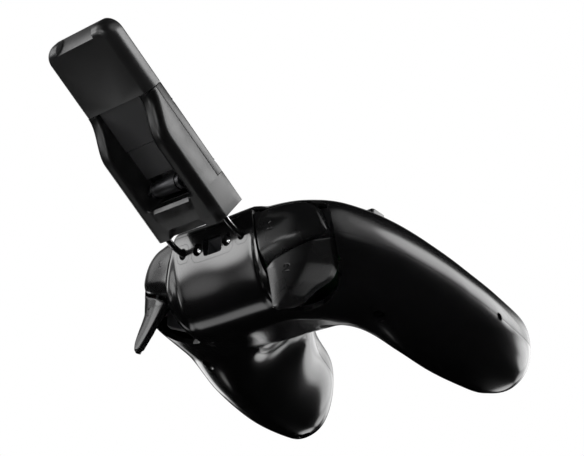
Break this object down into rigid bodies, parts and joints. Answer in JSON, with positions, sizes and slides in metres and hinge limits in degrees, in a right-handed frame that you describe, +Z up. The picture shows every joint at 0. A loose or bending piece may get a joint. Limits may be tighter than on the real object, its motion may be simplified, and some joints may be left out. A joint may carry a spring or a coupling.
{
  "type": "game controller with phone clip",
  "caption": "Wireless dual-grip game controller with a spring-loaded phone clip that plugs into its rear edge on two bent wire legs.",
  "frame": {"origin": "centre of the base of the whole object's box, at the height of the grip tips", "axes": "+X to the player's right as the controller is held, +Y from the player toward the rear edge that carries the clip, +Z up"},
  "size_m": [0.15, 0.1935, 0.122],
  "materials": {
    "shell_gloss": "gloss",
    "panel_gloss": "gloss",
    "cap_satin": "satin",
    "clip_satin": "satin",
    "inner_plastic": "matte",
    "dark_rubber": "matte",
    "mat_rubber": "matte",
    "button_green": "gloss",
    "button_yellow": "gloss",
    "button_blue": "gloss",
    "button_red": "gloss",
    "small_key": "satin",
    "light_pipe": "clear",
    "bright_steel": "brushed",
    "chrome": "polished",
    "dark_steel": "polished",
    "board_green": "solder mask",
    "battery_foil": "foil"
  },
  "bodies": {
    "controller": {"top_shell": "shell_gloss", "back_shell": "shell_gloss", "port_panel": "panel_gloss", "port_shroud": "inner_plastic", "charge_port": "bright_steel", "left_socket": "panel_gloss", "right_socket": "panel_gloss", "left_bracket": "inner_plastic", "right_bracket": "inner_plastic", "left_trigger_pin": "bright_steel", "right_trigger_pin": "bright_steel", "left_trigger_spring": "bright_steel", "right_trigger_spring": "bright_steel", "pad_post": "inner_plastic", "left_stick_frame": "inner_plastic", "right_stick_frame": "inner_plastic", "light_bar": "light_pipe", "left_mat": "mat_rubber", "right_mat": "mat_rubber", "middle_mat": "mat_rubber", "main_board": "board_green", "battery": "battery_foil", "case_screws": "dark_steel"},
    "pair_key": {"pair_button": "chrome"},
    "reset_key": {"reset_button": "chrome"},
    "left_bumper_key": {"left_bumper": "cap_satin"},
    "right_bumper_key": {"right_bumper": "cap_satin"},
    "left_trigger_key": {"left_trigger": "cap_satin"},
    "right_trigger_key": {"right_trigger": "cap_satin"},
    "pad_shaft": {"pad_cross_shaft": "bright_steel"},
    "pad_key": {"direction_pad": "cap_satin"},
    "near_key": {"button_near": "button_green"},
    "far_key": {"button_far": "button_yellow"},
    "inner_key": {"button_inner": "button_blue"},
    "outer_key": {"button_outer": "button_red"},
    "left_yoke": {"left_stick_yoke": "bright_steel"},
    "left_hub": {"left_stick_hub": "inner_plastic"},
    "left_thumb": {"left_stick": "dark_rubber"},
    "right_yoke": {"right_stick_yoke": "bright_steel"},
    "right_hub": {"right_stick_hub": "inner_plastic"},
    "right_thumb": {"right_stick": "dark_rubber"},
    "back_key": {"back_button": "small_key"},
    "start_key": {"start_button": "small_key"},
    "home_key": {"home_button": "small_key"},
    "clip": {"wire_legs": "dark_steel", "clip_body": "clip_satin", "clip_face": "clip_satin", "clip_screws": "bright_steel", "lower_pad": "dark_rubber", "face_pad": "dark_rubber", "drum_pin": "bright_steel"},
    "jaw": {"upper_jaw": "clip_satin", "jaw_tongue": "clip_satin", "upper_pad": "dark_rubber", "spring_strip": "bright_steel"},
    "drum": {"spring_drum": "bright_steel"}
  },
  "joints": [
    {"name": "near_press", "type": "slide", "parent": "controller", "child": "near_key", "axis": [0, 0.2034, -0.9791], "range_m": [0, 0.0012], "stiffness_N_per_m": 500, "springref_m": -0.001},
    {"name": "far_press", "type": "slide", "parent": "controller", "child": "far_key", "axis": [0, 0.2034, -0.9791], "range_m": [0, 0.0012], "stiffness_N_per_m": 500, "springref_m": -0.001},
    {"name": "inner_press", "type": "slide", "parent": "controller", "child": "inner_key", "axis": [0, 0.2034, -0.9791], "range_m": [0, 0.0012], "stiffness_N_per_m": 500, "springref_m": -0.001},
    {"name": "outer_press", "type": "slide", "parent": "controller", "child": "outer_key", "axis": [0, 0.2034, -0.9791], "range_m": [0, 0.0012], "stiffness_N_per_m": 500, "springref_m": -0.001},
    {"name": "back_press", "type": "slide", "parent": "controller", "child": "back_key", "axis": [0, 0, -1], "range_m": [0, 0.0008], "stiffness_N_per_m": 500, "springref_m": -0.001},
    {"name": "start_press", "type": "slide", "parent": "controller", "child": "start_key", "axis": [0, 0, -1], "range_m": [0, 0.0008], "stiffness_N_per_m": 500, "springref_m": -0.001},
    {"name": "home_press", "type": "slide", "parent": "controller", "child": "home_key", "axis": [0, 0, -1], "range_m": [0, 0.0008], "stiffness_N_per_m": 500, "springref_m": -0.001},
    {"name": "pair_press", "type": "slide", "parent": "controller", "child": "pair_key", "axis": [0, -1, 0], "range_m": [0, 0.0006], "stiffness_N_per_m": 500, "springref_m": -0.0008},
    {"name": "reset_press", "type": "slide", "parent": "controller", "child": "reset_key", "axis": [0, -1, 0], "range_m": [0, 0.0006], "stiffness_N_per_m": 500, "springref_m": -0.0008},
    {"name": "left_trigger_swing", "type": "hinge", "parent": "controller", "child": "left_trigger_key", "pos_m": [0, 0.00888, 0.0425], "axis": [1, 0, 0], "range_deg": [-10, 0], "stiffness_Nm_per_rad": 0.12, "springref_deg": 20.05},
    {"name": "left_bumper_swing", "type": "hinge", "parent": "controller", "child": "left_bumper_key", "pos_m": [0, 0.00908, 0.0514], "axis": [1, 0, 0], "range_deg": [-2.5, 0], "stiffness_Nm_per_rad": 0.4, "springref_deg": 5.73},
    {"name": "left_stick_fore_aft", "type": "hinge", "parent": "controller", "child": "left_yoke", "pos_m": [-0.025, -0.03382, 0.04958], "axis": [1, 0, 0], "range_deg": [-16, 16], "stiffness_Nm_per_rad": 0.03},
    {"name": "left_stick_side", "type": "hinge", "parent": "left_yoke", "child": "left_hub", "pos_m": [-0.025, -0.03382, 0.04958], "axis": [0, 1, 0], "range_deg": [-16, 16], "stiffness_Nm_per_rad": 0.03},
    {"name": "left_stick_press", "type": "slide", "parent": "left_hub", "child": "left_thumb", "axis": [0, 0, -1], "range_m": [0, 0.0005], "stiffness_N_per_m": 1500, "springref_m": -0.0006},
    {"name": "right_trigger_swing", "type": "hinge", "parent": "controller", "child": "right_trigger_key", "pos_m": [0, 0.00888, 0.0425], "axis": [1, 0, 0], "range_deg": [-10, 0], "stiffness_Nm_per_rad": 0.12, "springref_deg": 20.05},
    {"name": "right_bumper_swing", "type": "hinge", "parent": "controller", "child": "right_bumper_key", "pos_m": [0, 0.00908, 0.0514], "axis": [1, 0, 0], "range_deg": [-2.5, 0], "stiffness_Nm_per_rad": 0.4, "springref_deg": 5.73},
    {"name": "right_stick_fore_aft", "type": "hinge", "parent": "controller", "child": "right_yoke", "pos_m": [0.025, -0.03382, 0.04958], "axis": [1, 0, 0], "range_deg": [-16, 16], "stiffness_Nm_per_rad": 0.03},
    {"name": "right_stick_side", "type": "hinge", "parent": "right_yoke", "child": "right_hub", "pos_m": [0.025, -0.03382, 0.04958], "axis": [0, 1, 0], "range_deg": [-16, 16], "stiffness_Nm_per_rad": 0.03},
    {"name": "right_stick_press", "type": "slide", "parent": "right_hub", "child": "right_thumb", "axis": [0, 0, -1], "range_m": [0, 0.0005], "stiffness_N_per_m": 1500, "springref_m": -0.0006},
    {"name": "pad_fore_aft", "type": "hinge", "parent": "controller", "child": "pad_shaft", "pos_m": [-0.045, -0.01369, 0.05001], "axis": [1, 0, 0], "range_deg": [-3, 3], "stiffness_Nm_per_rad": 0.25},
    {"name": "pad_side", "type": "hinge", "parent": "pad_shaft", "child": "pad_key", "pos_m": [-0.045, -0.01369, 0.05001], "axis": [0, 0.9791, 0.2034], "range_deg": [-3, 3], "stiffness_Nm_per_rad": 0.25},
    {"name": "clip_pull", "type": "slide", "parent": "controller", "child": "clip", "axis": [0, 0.9397, 0.342], "range_m": [0, 0.014]},
    {"name": "jaw_slide", "type": "slide", "parent": "clip", "child": "jaw", "axis": [0, 0.7771, 0.6293], "range_m": [0, 0.026], "stiffness_N_per_m": 100, "springref_m": -0.03},
    {"name": "drum_turn", "type": "hinge", "parent": "clip", "child": "drum", "pos_m": [0, 0.04463, 0.06854], "axis": [1, 0, 0], "range_deg": [-5, 397]}
  ],
  "couplings": [
    {"joint": "drum_turn", "follows": "jaw_slide", "rad_per_m": 263.16}
  ]
}
